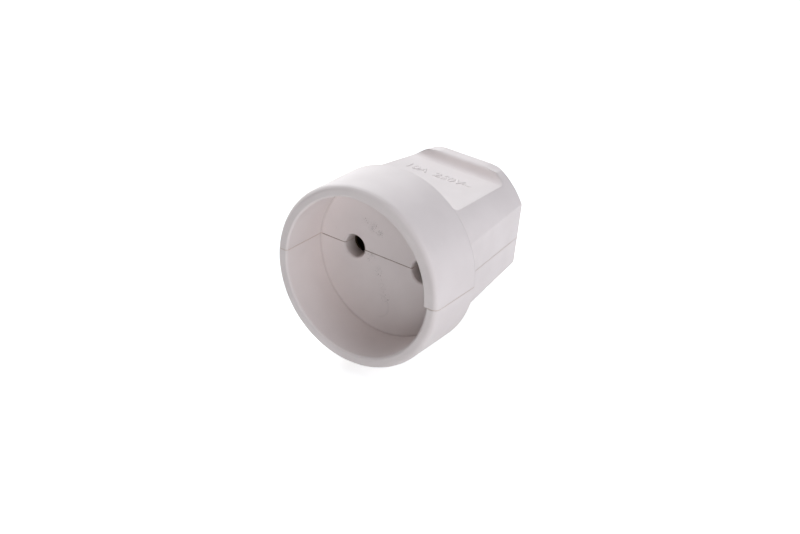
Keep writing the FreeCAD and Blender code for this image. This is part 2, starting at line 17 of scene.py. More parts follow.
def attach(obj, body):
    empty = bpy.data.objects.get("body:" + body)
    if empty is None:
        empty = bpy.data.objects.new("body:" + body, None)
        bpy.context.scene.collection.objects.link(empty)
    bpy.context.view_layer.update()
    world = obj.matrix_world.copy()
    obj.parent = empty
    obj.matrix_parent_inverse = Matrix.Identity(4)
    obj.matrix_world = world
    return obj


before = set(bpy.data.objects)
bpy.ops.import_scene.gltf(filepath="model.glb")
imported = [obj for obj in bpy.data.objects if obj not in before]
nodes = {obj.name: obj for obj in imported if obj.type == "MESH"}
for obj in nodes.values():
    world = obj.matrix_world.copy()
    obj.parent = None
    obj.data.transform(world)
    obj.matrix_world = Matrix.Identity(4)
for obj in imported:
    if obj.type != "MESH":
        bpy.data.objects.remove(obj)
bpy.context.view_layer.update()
print("pieces in the frame:", ", ".join(sorted(nodes)))

# %% [markdown]
# ## The socket's own frame
#
# The socket lies on the rear edge of its collar and on the ridge at the rear of its underside, so its axis
# slopes down towards the rear. It is easier to think along that axis: x to the right, y from the mouth to
# the rear, z up from the parting plane, all in millimetres. One matrix turns such a place into a place in
# the scene.

# %% From the socket's axis to the scene
MM = 0.001
REST_TILT = math.radians(9.614)
REST_SHIFT = -22.364
REST_LIFT = 24.646

lay_down = (
    Matrix.Translation((0, REST_SHIFT * MM, REST_LIFT * MM))
    @ Matrix.Rotation(-REST_TILT, 4, "X")
    @ Matrix.Scale(MM, 4)
)


def laid(x, y, z):
    """A place on the socket, in millimetres along its axis, as a place in the scene."""
    return lay_down @ Vector((x, y, z))


print("the mouth's middle is at", [round(v, 4) for v in laid(0, 0, 0)])

# %% [markdown]
# ## Helpers for node trees
#
# A material is a small circuit. A few helpers keep it readable: one adds a node and fills in its inputs, and
# the others wrap the nodes used most. A link is made by handing an output straight to the input that reads
# it.

# %% Node helpers


def add_node(tree, kind, settings=None, **inputs):
    """Adds a node with its settings, and fills its inputs with values or with other nodes' outputs.

    An input goes by its name, with _ for a space, or by its number, as i0, i1 and so on.
    """
    node = tree.nodes.new(kind)
    for name, value in (settings or {}).items():
        setattr(node, name, value)
    for name, value in inputs.items():
        by_number = name[0] == "i" and name[1:].isdigit()
        socket = node.inputs[int(name[1:]) if by_number else name.replace("_", " ")]
        if isinstance(value, bpy.types.NodeSocket):
            tree.links.new(value, socket)
        else:
            socket.default_value = value
    return node


def maths(tree, operation, first, second=0.0):
    """One sum on two numbers or outputs."""
    node = add_node(tree, "ShaderNodeMath", {"operation": operation}, i0=first, i1=second)
    return node.outputs[0]


def ramp(tree, value, low, high, at_low=0.0, at_high=1.0):
    """Eases a value from at_low, below low, to at_high, above high."""
    node = add_node(tree, "ShaderNodeMapRange", {"interpolation_type": "SMOOTHSTEP"},
                    Value=value, From_Min=low, From_Max=high, To_Min=at_low, To_Max=at_high)
    return node.outputs[0]


def past(edge, fade):
    """The two ends of a fade, given by how far past an edge they lie."""
    return [edge + step for step in fade]


def mixed(tree, factor, first, second):
    """Two colours, mixed."""
    node = add_node(tree, "ShaderNodeMix", {"data_type": "RGBA"}, i0=factor, i6=first, i7=second)
    return node.outputs[2]


def new_group(name, inputs, outputs):
    """An empty shader node group, its input node and its output node."""
    tree = bpy.data.node_groups.new(name, "ShaderNodeTree")
    for label, kind, value in inputs:
        socket = tree.interface.new_socket(label, in_out="INPUT", socket_type=kind)
        if value is not None:
            socket.default_value = value
    for label, kind in outputs:
        tree.interface.new_socket(label, in_out="OUTPUT", socket_type=kind)
    return tree, tree.nodes.new("NodeGroupInput"), tree.nodes.new("NodeGroupOutput")


def place_group(tree, group, **inputs):
    """Puts a node group into a material."""
    return add_node(tree, "ShaderNodeGroup", {"node_tree": group}, **inputs)


# %% [markdown]
# ## Moulded grain
#
# A mould is never quite smooth. Its fine spark-eroded grain gives the plastic a satin gloss, and slow
# changes in how the melt cooled leave a faint cloudiness. Both are noise, at two very different sizes, so
# they go into one group that every plastic here can use.

# %% Node group: moulded grain
# where most of a noise's values lie
NOISE_RANGE = (0.3, 0.7)

grain_group, grain_in, grain_out = new_group(
    "moulded_grain",
    [("Vector", "NodeSocketVector", None), ("Grain Scale", "NodeSocketFloat", 3200.0),
     ("Cloud Scale", "NodeSocketFloat", 140.0)],
    [("Height", "NodeSocketFloat"), ("Cloud", "NodeSocketFloat")],
)
fine = add_node(grain_group, "ShaderNodeTexNoise", Vector=grain_in.outputs["Vector"],
                Scale=grain_in.outputs["Grain Scale"], Detail=3.0, Roughness=0.6)
cloud = add_node(grain_group, "ShaderNodeTexNoise", Vector=grain_in.outputs["Vector"],
                 Scale=grain_in.outputs["Cloud Scale"], Detail=2.0, Roughness=0.5)
grain_group.links.new(fine.outputs[0], grain_out.inputs["Height"])
grain_group.links.new(cloud.outputs[0], grain_out.inputs["Cloud"])
print("moulded_grain puts out", [s.name for s in grain_out.inputs if s.name])

# %% [markdown]
# ## Places along the socket's axis
#
# Marks sit at known places: in the seam, round a pin hole, on the cup's floor. The coordinates a material
# reads are those of the scene, in metres, so one group turns them back into millimetres along the socket's
# axis: X to the right, Y from the mouth, Z up from the parting plane, and Radius from the axis.

# %% Node group: socket axes


def distance(tree, first, second):
    """The long side of a right angle with two short sides."""
    squares = [maths(tree, "MULTIPLY", side, side) for side in (first, second)]
    return maths(tree, "SQRT", maths(tree, "ADD", *squares))


axes_group, axes_in, axes_out = new_group(
    "socket_axes",
    [("Vector", "NodeSocketVector", None)],
    [(name, "NodeSocketFloat") for name in ("X", "Y", "Z", "Radius")],
)
mouth = laid(0, 0, 0)
from_mouth = add_node(axes_group, "ShaderNodeVectorMath", {"operation": "SUBTRACT"},
                      i0=axes_in.outputs["Vector"], i1=mouth)
along = {}
for name, step in (("X", (1, 0, 0)), ("Y", (0, 1, 0)), ("Z", (0, 0, 1))):
    direction = (laid(*step) - mouth) / MM**2
    product = add_node(axes_group, "ShaderNodeVectorMath", {"operation": "DOT_PRODUCT"},
                       i0=from_mouth.outputs[0], i1=direction)
    along[name] = product.outputs["Value"]
along["Radius"] = distance(axes_group, along["X"], along["Z"])
for name, output in along.items():
    axes_group.links.new(output, axes_out.inputs[name])
print("socket_axes puts out", list(along))

# %% [markdown]
# ## Grime along the seam
#
# The two shells meet at the parting plane. Dust and skin grease collect in the narrow gap there and stain
# both lips of it. The group draws a soft line of a given width, in millimetres, with an uneven edge.

# %% Node group: seam grime
# least and most of the line's width, and the part of it that is stained in full
GRIME_SPREAD = (0.6, 1.3)
GRIME_CORE = 0.2

grime_group, grime_in, grime_out = new_group(
    "seam_grime",
    [("Vector", "NodeSocketVector", None), ("Level", "NodeSocketFloat", 0.0),
     ("Width", "NodeSocketFloat", 0.2)],
    [("Line", "NodeSocketFloat")],
)
uneven = add_node(grime_group, "ShaderNodeTexNoise",
                  Vector=grime_in.outputs["Vector"], Scale=420.0, Detail=2.0)
spread = ramp(grime_group, uneven.outputs[0], *NOISE_RANGE, *GRIME_SPREAD)
width = maths(grime_group, "MULTIPLY", grime_in.outputs["Width"], spread)
share = maths(grime_group, "DIVIDE", maths(grime_group, "ABSOLUTE", grime_in.outputs["Level"]), width)
grime_group.links.new(ramp(grime_group, share, GRIME_CORE, 1.0, 1.0, 0.0), grime_out.inputs["Line"])
print("seam_grime puts out", [s.name for s in grime_out.inputs if s.name])

# %% [markdown]
# ## Marks and painted shade in the cup
#
# A cup that takes plugs gathers marks. The corner where its wall meets the floor and the pin holes,
# darker further down and on their upper lips, are darkened as painted shade. Plug pins that missed the
# holes have left specks and smears on the floor, and something round has left half a faint ring. The
# group adds them up: Shade for the painted shade in the corner and holes, Specks for the marks on the floor.

# %% Sizes of the cup, its marks and its painted shade
CUP_RADIUS = 19.45
CUP_DEPTH = 13.35
PIN_X = 9.5
HOLE_RADIUS = 2.75
# width and strength of the painted shade in the corner
CORNER_WIDTH, CORNER_SHADE = 0.7, 0.13
# strength of the painted shade at a hole's mouth and further down, and of the painted shade on its upper lip
MOUTH_SHADE, DEEP_SHADE, LIP_SHADE = 0.06, 0.5, 0.7
# where a hole's painted shade fades past its edge, deepens below the floor, and ends
HOLE_FADE, HOLE_DEEPENS, HOLE_ENDS = (0.1, 0.65), (-0.2, 4.0), (6.0, 9.0)
# where the upper lip's painted shade begins across the hole, fades past its edge, and fades off the floor
HOLE_LIP_ACROSS, HOLE_LIP_EDGE, HOLE_LIP_DEPTH = (-1.0, 2.0), (0.28, 0.36), (0.3, 0.6)
# x, z, radius and strength of the smears on the cup's floor
SMEARS = [
    (-7.0, 7.6, 1.8, 0.4),
    (-4.6, 6.6, 2.0, 0.8),
    (-2.8, 5.7, 1.4, 1.0),
    (-4.8, -0.8, 2.4, 0.7),
    (-2.2, -4.0, 1.8, 0.6),
    (-0.6, -7.6, 1.6, 0.5),
    (0.6, -10.3, 1.8, 0.9),
    (-15.0, 2.6, 0.8, 0.5),
]
# where the floor's marks fade off it, and the part of a smear's radius that is marked in full
FLOOR_FADE, SMEAR_CORE = (0.05, 0.15), 0.2
RING_X, RING_Z, RING_RADIUS = -1.4, -12.8, 3.0
# where the ring's line fades to either side, and where it begins to the right of its middle
RING_FADE, RING_BEGINS = (0.05, 0.45), (-1.0, 1.5)
RING_STRENGTH, HAZE_STRENGTH = 0.11, 0.25
SPECK_SCALE, HAZE_SCALE = 3600.0, 700.0
# where a noise's values begin to show, and where they show in full
SPECK_RANGE, HAZE_RANGE = (0.56, 0.68), (0.4, 0.7)

# %% Node group: cup marks and shade, the painted shade in corners and holes
marks_and_shade_group, marks_in, marks_and_shade_out = new_group(
    "cup_marks_and_shade",
    [("Vector", "NodeSocketVector", None)] + [(name, "NodeSocketFloat", 0.0) for name in along],
    [("Shade", "NodeSocketFloat"), ("Specks", "NodeSocketFloat")],
)
x, y, z, radius = (marks_in.outputs[name] for name in along)
to_floor = maths(marks_and_shade_group, "SUBTRACT", y, CUP_DEPTH)
off_floor = maths(marks_and_shade_group, "ABSOLUTE", to_floor)
# painted shade: a dark line along the corner where the cup's wall meets its floor
corner = distance(marks_and_shade_group, maths(marks_and_shade_group, "SUBTRACT", radius, CUP_RADIUS), to_floor)
corner_shade = ramp(marks_and_shade_group, corner, 0.0, CORNER_WIDTH, CORNER_SHADE, 0.0)
# painted shade in the pin holes: faint at the mouth, darker further down
pin = maths(marks_and_shade_group, "SUBTRACT", maths(marks_and_shade_group, "ABSOLUTE", x), PIN_X)
from_hole = distance(marks_and_shade_group, pin, z)
hole = ramp(marks_and_shade_group, from_hole, *past(HOLE_RADIUS, HOLE_FADE), 1.0, 0.0)
down_hole = ramp(marks_and_shade_group, to_floor, *HOLE_DEEPENS, MOUTH_SHADE, DEEP_SHADE)
hole_end = ramp(marks_and_shade_group, off_floor, *HOLE_ENDS, 1.0, 0.0)
hole_shade = maths(marks_and_shade_group, "MULTIPLY", hole, maths(marks_and_shade_group, "MULTIPLY", down_hole, hole_end))
# painted shade on the upper lip of each pin hole
nearest_pin = maths(marks_and_shade_group, "MULTIPLY", maths(marks_and_shade_group, "SIGN", x), PIN_X)
from_pin = maths(marks_and_shade_group, "SUBTRACT", x, nearest_pin)
upper_lip = ramp(marks_and_shade_group, maths(marks_and_shade_group, "ADD", from_pin, z), *HOLE_LIP_ACROSS, 0.0, LIP_SHADE)
on_lip = ramp(marks_and_shade_group, from_hole, *past(HOLE_RADIUS, HOLE_LIP_EDGE), 1.0, 0.0)
lip_shade = maths(marks_and_shade_group, "MULTIPLY", maths(marks_and_shade_group, "MULTIPLY", upper_lip, on_lip),
                  ramp(marks_and_shade_group, off_floor, *HOLE_LIP_DEPTH, 1.0, 0.0))
# all the painted shade together: the darkest of corner, hole and lip
shades = maths(marks_and_shade_group, "MAXIMUM", corner_shade, maths(marks_and_shade_group, "MAXIMUM", hole_shade, lip_shade))
marks_and_shade_group.links.new(shades, marks_and_shade_out.inputs["Shade"])
print("the shade takes", len(marks_and_shade_group.nodes), "nodes")

# %% Node group: cup marks, the marks on the floor


def from_spot(spot_x, spot_z):
    """How far a place lies from a spot on the floor."""
    sides = [maths(marks_and_shade_group, "SUBTRACT", *pair) for pair in ((x, spot_x), (z, spot_z))]
    return distance(marks_and_shade_group, *sides)


on_floor = ramp(marks_and_shade_group, off_floor, *FLOOR_FADE, 1.0, 0.0)
smeared = 0.0
for smear_x, smear_z, smear_radius, strength in SMEARS:
    away = from_spot(smear_x, smear_z)
    smear = ramp(marks_and_shade_group, away, SMEAR_CORE * smear_radius, smear_radius, strength, 0.0)
    smeared = maths(marks_and_shade_group, "MAXIMUM", smeared, smear)
speck = add_node(marks_and_shade_group, "ShaderNodeTexNoise",
                 Vector=marks_in.outputs["Vector"], Scale=SPECK_SCALE, Detail=1.0)
haze = add_node(marks_and_shade_group, "ShaderNodeTexNoise",
                Vector=marks_in.outputs["Vector"], Scale=HAZE_SCALE, Detail=2.0)
specks = maths(marks_and_shade_group, "MULTIPLY", smeared, ramp(marks_and_shade_group, speck.outputs[0], *SPECK_RANGE))
hazy = ramp(marks_and_shade_group, haze.outputs[0], *HAZE_RANGE, 0.0, HAZE_STRENGTH)
smears = maths(marks_and_shade_group, "MULTIPLY", smeared, hazy)
ring = maths(marks_and_shade_group, "SUBTRACT", from_spot(RING_X, RING_Z), RING_RADIUS)
ring_edge = maths(marks_and_shade_group, "ABSOLUTE", ring)
right_half = ramp(marks_and_shade_group, maths(marks_and_shade_group, "SUBTRACT", x, RING_X), *RING_BEGINS)
ring_line = maths(marks_and_shade_group, "MULTIPLY",
                  ramp(marks_and_shade_group, ring_edge, *RING_FADE, RING_STRENGTH, 0.0), right_half)
all_marks = maths(marks_and_shade_group, "MAXIMUM", maths(marks_and_shade_group, "MAXIMUM", specks, smears), ring_line)
marks_and_shade_group.links.new(maths(marks_and_shade_group, "MULTIPLY", all_marks, on_floor), marks_and_shade_out.inputs["Specks"])
print("cup_marks_and_shade has", len(marks_and_shade_group.nodes), "nodes")

# %% [markdown]
# ## White housing plastic
#
# The shells are white, a little warm and greyish, with a satin gloss. The grain group bumps and mottles
# them, the grime group stains the seam, most of all in the cup, and the marks group dirties the cup and
# paints shade into its corner and pin holes. A Bevel node softens the edges: no moulded edge is quite sharp.

# %% Material helpers
# where the inside of the cup ends, from its wall and from its floor
INSIDE_WALL, INSIDE_FLOOR = (-0.6, -0.2), (0.5, 1.0)


def start_material(name):
    """A material with a Principled BSDF, ready for nodes, and its Object coordinates."""
    material = bpy.data.materials.new(name)
    material.use_nodes = True
    tree = material.node_tree
    shader = tree.nodes["Principled BSDF"]
    place = add_node(tree, "ShaderNodeTexCoord").outputs["Object"]
    return material, tree, shader, place


def link(tree, output, shader, name):
    """Feeds one input of a shader."""
    tree.links.new(output, shader.inputs[name])


def inside_cup(tree, axes):
    """One on the wall and the floor of the cup, and nought on the rim, the collar and the grip."""
    within = ramp(tree, axes.outputs["Radius"], *past(CUP_RADIUS, INSIDE_WALL), 1.0, 0.0)
    before = ramp(tree, axes.outputs["Y"], *past(CUP_DEPTH, INSIDE_FLOOR), 1.0, 0.0)
    return maths(tree, "MULTIPLY", within, before)


# %% Material: housing plastic, its colour
PLASTIC_WHITE = (0.852, 0.78, 0.766, 1)
PLASTIC_CLOUD = (0.832, 0.76, 0.746, 1)
# the cloudiness at which the one white ends and the other begins
CLOUD_RANGE = (0.35, 0.65)
SEAM_BROWN = (0.28, 0.14, 0.10, 1)
# colour of the painted shade in the cup's corner and pin holes
PAINTED_SHADE_BROWN = (0.20, 0.125, 0.10, 1)
SPECK_GREY = (0.16, 0.135, 0.125, 1)
# how strongly the seam is stained, in the cup and outside it, and how wide the stain is
CUP_STAIN, HANDLED_STAIN, STAIN_WIDTH = 0.40, 0.08, 0.2
SPECK_STRENGTH = 0.5

housing, tree, shader, place = start_material("housing_plastic")
grain = place_group(tree, grain_group, Vector=place)
axes = place_group(tree, axes_group, Vector=place)
grime = place_group(tree, grime_group, Vector=place, Level=axes.outputs["Z"], Width=STAIN_WIDTH)
# the marks group gives painted shade (Shade) and real specks, smears and a ring (Specks)
marks_and_shade = place_group(tree, marks_and_shade_group, Vector=place, **{name: axes.outputs[name] for name in along})
white = mixed(tree, ramp(tree, grain.outputs["Cloud"], *CLOUD_RANGE), PLASTIC_WHITE, PLASTIC_CLOUD)
# painted shade: the cup's corner and pin holes are darkened towards a brown
shaded_white = mixed(tree, marks_and_shade.outputs["Shade"], white, PAINTED_SHADE_BROWN)
specks = maths(tree, "MULTIPLY", marks_and_shade.outputs["Specks"], SPECK_STRENGTH)
specked = mixed(tree, specks, shaded_white, SPECK_GREY)
cup_stain = maths(tree, "MULTIPLY", inside_cup(tree, axes), CUP_STAIN - HANDLED_STAIN)
stain = maths(tree, "ADD", cup_stain, HANDLED_STAIN)
stained = mixed(tree, maths(tree, "MULTIPLY", grime.outputs["Line"], stain), specked, SEAM_BROWN)
link(tree, stained, shader, "Base Color")
print("its colour takes", len(tree.nodes), "nodes")

# %% Material: housing plastic, its surface
PLASTIC_ROUGHNESS = (0.46, 0.54)
PLASTIC_IOR, PLASTIC_SHEEN = 1.5, 0.18
# radius to which edges are softened on the ridge and elsewhere
RIDGE_SOFTNESS, EDGE_SOFTNESS = 1.0, 0.3
# where the ridge begins, along the axis and in height
RIDGE_BEHIND, RIDGE_ABOVE = (39.5, 41.5), (12.0, 13.5)
GRAIN_DEPTH, GRAIN_STRENGTH = 0.05, 0.10

link(tree, ramp(tree, grain.outputs["Cloud"], *NOISE_RANGE, *PLASTIC_ROUGHNESS), shader, "Roughness")
at_rear = ramp(tree, axes.outputs["Y"], *RIDGE_BEHIND)
on_ridge = maths(tree, "MULTIPLY", at_rear, ramp(tree, axes.outputs["Z"], *RIDGE_ABOVE))
edge = maths(tree, "MAXIMUM", maths(tree, "MULTIPLY", on_ridge, RIDGE_SOFTNESS * MM), EDGE_SOFTNESS * MM)
soft = add_node(tree, "ShaderNodeBevel", {"samples": 6}, Radius=edge)
bump = add_node(tree, "ShaderNodeBump", Strength=GRAIN_STRENGTH, Distance=GRAIN_DEPTH * MM,
                Height=grain.outputs["Height"], Normal=soft.outputs[0])
link(tree, bump.outputs[0], shader, "Normal")
shader.inputs["IOR"].default_value = PLASTIC_IOR
shader.inputs["Specular IOR Level"].default_value = PLASTIC_SHEEN
print("housing_plastic has", len(tree.nodes), "nodes")

# %% [markdown]
# ## Clamp bar, brass and zinc
#
# The pieces inside show only through the pin holes and the cord entry. The clamp bar is a greyer plastic,
# the contacts are dull turned brass whose colour is painted nearly black as painted shade for the dark
# inside of the holes, and the screws and springs are zinc plated steel.

# %% Materials: clamp plastic, brass, zinc


def mottled(name, light, dark, roughness, metallic, bump=0.0, depth=0.0, **scales):
    """A material whose colour and gloss follow the grain group's cloudiness, with or without its relief."""
    material, tree, shader, place = start_material(name)
    grain = place_group(tree, grain_group, Vector=place, **scales)
    link(tree, mixed(tree, grain.outputs["Cloud"], light, dark), shader, "Base Color")
    link(tree, ramp(tree, grain.outputs["Cloud"], *NOISE_RANGE, *roughness), shader, "Roughness")
    shader.inputs["Metallic"].default_value = metallic
    if bump:
        relief = add_node(tree, "ShaderNodeBump", Strength=bump, Distance=depth * MM,
                          Height=grain.outputs["Height"])
        link(tree, relief.outputs[0], shader, "Normal")
    print(name, "has", len(tree.nodes), "nodes")
    return material


clamp = mottled("clamp_plastic", light=(0.62, 0.61, 0.58, 1), dark=(0.52, 0.51, 0.49, 1),
                roughness=(0.5, 0.62), metallic=0.0, bump=0.2, depth=0.05, Cloud_Scale=300.0)
# painted shade: the brass colour is darkened nearly to black so the contacts stay as dark as the shade in
# the holes
brass = mottled("dull_brass_painted_as_shade", light=(0.10, 0.07, 0.04, 1), dark=(0.05, 0.035, 0.02, 1),
                roughness=(0.32, 0.5), metallic=1.0, Cloud_Scale=500.0, Grain_Scale=6000.0)
zinc = mottled("zinc_plate", light=(0.62, 0.63, 0.64, 1), dark=(0.45, 0.45, 0.46, 1),
               roughness=(0.28, 0.42), metallic=1.0, bump=0.15, depth=0.03,
               Cloud_Scale=700.0, Grain_Scale=5000.0)

# %% [markdown]
# ## Hand the finishes out
#
# The names of the frame's pieces say what they are made of.

# %% Assign the materials


def finish_for(name):
    """The material that a piece of the frame gets."""
    if name.endswith("shell"):
        return housing
    if name.endswith("bar"):
        return clamp
    if name.endswith("contact"):
        return brass
    return zinc


for name, piece in nodes.items():
    for material_slot in piece.material_slots:
        material_slot.material = finish_for(name)
    print(name, "gets", finish_for(name).name)

# %% [markdown]
# ## Grime in the seam
#
# The gap between the shells is a tenth of a millimetre high and packed with dust. The dust takes the shape
# of the lower shell's parting face, so its mesh starts as a copy of that face, shrinks a little so that the
# lips of the seam stand proud of it, and grows a thickness.

# %% Material: packed dust
# light and dark, where hands reach and in the cup
DUST_TAN = [(0.70, 0.56, 0.48, 1), (0.58, 0.44, 0.36, 1)]
DUST_BROWN = [(0.26, 0.16, 0.12, 1), (0.18, 0.11, 0.08, 1)]
DUST_ROUGHNESS = (0.8, 0.95)

dust, tree, shader, place = start_material("packed_dust")
grain = place_group(tree, grain_group, Vector=place, Cloud_Scale=900.0)
axes = place_group(tree, axes_group, Vector=place)
handled = mixed(tree, grain.outputs["Cloud"], *DUST_TAN)
sheltered = mixed(tree, grain.outputs["Cloud"], *DUST_BROWN)
link(tree, mixed(tree, inside_cup(tree, axes), handled, sheltered), shader, "Base Color")
link(tree, ramp(tree, grain.outputs["Cloud"], *NOISE_RANGE, *DUST_ROUGHNESS), shader, "Roughness")
print("packed_dust has", len(tree.nodes), "nodes")

# %% The dust in the seam
# height of the gap, room left above and below the dust, and how far it stays back from the edges
SEAM_HEIGHT, SEAM_ROOM, SEAM_SETBACK = 0.12, 0.005, 0.025
# how far a face may lie from the parting plane, and the cosine of how far it may lean
PARTING_OFFSET, PARTING_LEAN = 0.02, 0.999
# corners closer than this are one
WELD = 0.001


def add_piece(name, mesh, material):
    """Puts a finished mesh into the scene as a piece that rides with the socket."""
    mesh.materials.clear()
    mesh.materials.append(material)
    piece = bpy.data.objects.new(name, mesh)
    bpy.context.scene.collection.objects.link(piece)
    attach(piece, "root")
    print(name, "has", len(mesh.polygons), "faces")


upward = (laid(0, 0, 1) - mouth).normalized()
lower = nodes["lower_shell"]
seam = bmesh.new()
seam.from_mesh(lower.data)
seam.transform(lower.matrix_world)
elsewhere = [
    face for face in seam.faces
    if face.normal.dot(upward) < PARTING_LEAN
    or abs((face.calc_center_median() - mouth).dot(upward)) > PARTING_OFFSET * MM
]
bmesh.ops.delete(seam, geom=elsewhere, context="FACES")
bmesh.ops.remove_doubles(seam, verts=seam.verts[:], dist=WELD * MM)
margin = bmesh.ops.inset_region(seam, faces=seam.faces[:], thickness=SEAM_SETBACK * MM,
                                use_even_offset=True, use_boundary=True)
bmesh.ops.delete(seam, geom=margin["faces"], context="FACES")
grown = bmesh.ops.extrude_face_region(seam, geom=seam.faces[:])
raised = [item for item in grown["geom"] if isinstance(item, bmesh.types.BMVert)]
bmesh.ops.translate(seam, verts=raised, vec=upward * (SEAM_HEIGHT - 2 * SEAM_ROOM) * MM)
bmesh.ops.translate(seam, verts=seam.verts[:], vec=upward * SEAM_ROOM * MM)
bmesh.ops.recalc_face_normals(seam, faces=seam.faces[:])
seam_mesh = bpy.data.meshes.new("seam_dust")
seam.to_mesh(seam_mesh)
seam.free()
add_piece("seam_dust", seam_mesh, dust)

# %% [markdown]
# ## The mouth's thick lip
#
# On the right the upper shell's lip reaches further into the mouth than the lower shell's, by more than half
# a millimetre at the seam and fading out towards the top. A profile is swept round the axis for it: its
# front lies on the rim, its edge is broken, and its inside runs back into the cup's wall.

# %% The lip
LIP_STEPS = 48
LIP_FROM, LIP_TO = math.radians(0.4), math.radians(105)
LIP_FADE_POWER = 3
SHARP_ANGLE = math.radians(25)
# radius and depth of the profile's corners, at the seam and where the lip has faded out
LIP_FULL = [(20.4, 0.03), (20.1, -0.012), (18.90, -0.012), (18.80, 0.10), (19.47, 13.30), (20.4, 1.0)]
LIP_FADED = [(20.4, 0.03), (19.95, 0.02), (19.88, 0.03), (19.47, 0.43), (19.47, 13.30), (20.4, 1.0)]

corners = []
for step in range(LIP_STEPS + 1):
    share = step / LIP_STEPS
    angle = LIP_FROM + (LIP_TO - LIP_FROM) * share
    faded = share**LIP_FADE_POWER
    for (full_radius, full_depth), (faded_radius, faded_depth) in zip(LIP_FULL, LIP_FADED):
        reach = full_radius + (faded_radius - full_radius) * faded
        depth = full_depth + (faded_depth - full_depth) * faded
        corners.append(laid(reach * math.cos(angle), depth, reach * math.sin(angle)))
count = len(LIP_FULL)
faces = [tuple(range(count)), tuple(range(LIP_STEPS * count, (LIP_STEPS + 1) * count))]
for step in range(LIP_STEPS):
    for side in range(count):
        after = (side + 1) % count
        here, there = step * count, (step + 1) * count
        faces.append((here + side, here + after, there + after, there + side))
lip_mesh = bpy.data.meshes.new("mouth_lip")
lip_mesh.from_pydata(corners, [], faces)
lip = bmesh.new()
lip.from_mesh(lip_mesh)
bmesh.ops.recalc_face_normals(lip, faces=lip.faces[:])
lip.to_mesh(lip_mesh)
lip.free()
lip_mesh.shade_smooth()
lip_mesh.set_sharp_from_angle(angle=SHARP_ANGLE)
add_piece("mouth_lip", lip_mesh, housing)

# %% [markdown]
# ## The ends of the ridge
#
# The bevel at each end of the ridge leaves a small step near its front, where the shoulder stands further
# out. A thin wedge lies on each bevel and fills the step: it follows the ridge's front edge and thins out
# towards the rear. Its plastic is the housing's without the Bevel node, which can't soften so thin an edge.

# %% The ridge's ends
RIDGE_TOP = 16.65
# how much the bevel falls, per millimetre outwards
BEVEL_FALL = 0.21875
# height of the step at the front, how much its front leans back per millimetre, and where it ends
STEP_HEIGHT, STEP_LEAN, STEP_REAR = 0.335, 0.313, 44.98
# x and y of the bevel's front edge, from its inner end to its outer end
BEVEL_FRONT = [
    (6.551, 43.154), (6.66, 42.973), (6.838, 42.864), (7.121, 42.755),
    (7.592, 42.638), (8.256, 42.535), (9.018, 42.473), (9.751, 42.435),
]

sharp_plastic = housing.copy()
sharp_plastic.name = "sharp_plastic"
for node in [node for node in sharp_plastic.node_tree.nodes if node.bl_idname == "ShaderNodeBevel"]:
    sharp_plastic.node_tree.nodes.remove(node)

inner, outer = BEVEL_FRONT[0][0], BEVEL_FRONT[-1][0]
ends = bmesh.new()
for side in (-1, 1):
    tail = ends.verts.new(laid(side * outer, STEP_REAR, RIDGE_TOP - BEVEL_FALL * (outer - inner)))
    lower_edge, upper_edge = [], []
    for front_x, front_y in BEVEL_FRONT:
        height = RIDGE_TOP - BEVEL_FALL * (front_x - inner)
        rise = STEP_HEIGHT * (front_x - inner) / (outer - inner)
        lower_edge.append(ends.verts.new(laid(side * front_x, front_y, height)))
        raised_place = laid(side * front_x, front_y + STEP_LEAN * rise, height + rise)
        upper_edge.append(ends.verts.new(raised_place) if rise else lower_edge[0])
    for step in range(len(BEVEL_FRONT) - 1):
        ends.faces.new((tail, upper_edge[step], upper_edge[step + 1]))
        ends.faces.new((tail, lower_edge[step + 1], lower_edge[step]))
        front = [lower_edge[step], lower_edge[step + 1], upper_edge[step + 1], upper_edge[step]]
        ends.faces.new(front if step else front[:3])
    ends.faces.new((tail, upper_edge[-1], lower_edge[-1]))
bmesh.ops.recalc_face_normals(ends, faces=ends.faces[:])
ends_mesh = bpy.data.meshes.new("ridge_ends")
ends.to_mesh(ends_mesh)
ends.free()
add_piece("ridge_ends", ends_mesh, sharp_plastic)

# %% [markdown]
# ## A raised rating in the thumb recess
#
# The floor of the recess carries small raised characters: the current and the voltage that such a socket is
# made for. Each word is a text curve with a little thickness. It becomes a mesh first, and then its corners
# are carried to the recess, whose floor falls gently towards the rear.

# %% The rating
RECESS_FRONT, RECESS_FRONT_HEIGHT, RECESS_FALL = 16.1, 16.05, 0.0753
RATING_Y = 32.6
RATING_SIZE = 3.8
RATING_HEIGHT = 0.02
RATING_BEVEL = 0.11
# word and its left edge
RATING = [("10A", -10.2), ("250V~", -2.0)]


def raised_word(word, left):
    """A word as a mesh, in millimetres along the socket's axis, on the floor of the recess."""
    curve = bpy.data.curves.new("word", "FONT")
    curve.body = word
    curve.size = RATING_SIZE
    curve.extrude = RATING_HEIGHT
    curve.bevel_depth = RATING_BEVEL
    curve.bevel_resolution = 2
    curve.offset = -RATING_BEVEL / 2
    curve.resolution_u = 4
    holder = bpy.data.objects.new("word", curve)
    bpy.context.scene.collection.objects.link(holder)
    bpy.context.view_layer.update()
    mesh = bpy.data.meshes.new_from_object(holder.evaluated_get(bpy.context.evaluated_depsgraph_get()))
    bpy.data.objects.remove(holder)
    bpy.data.curves.remove(curve)
    height = RECESS_FRONT_HEIGHT - RECESS_FALL * (RATING_Y - RECESS_FRONT)
    slope = Matrix.Rotation(-math.atan(RECESS_FALL), 4, "X")
    mesh.transform(Matrix.Translation((left, RATING_Y, height)) @ slope)
    return mesh


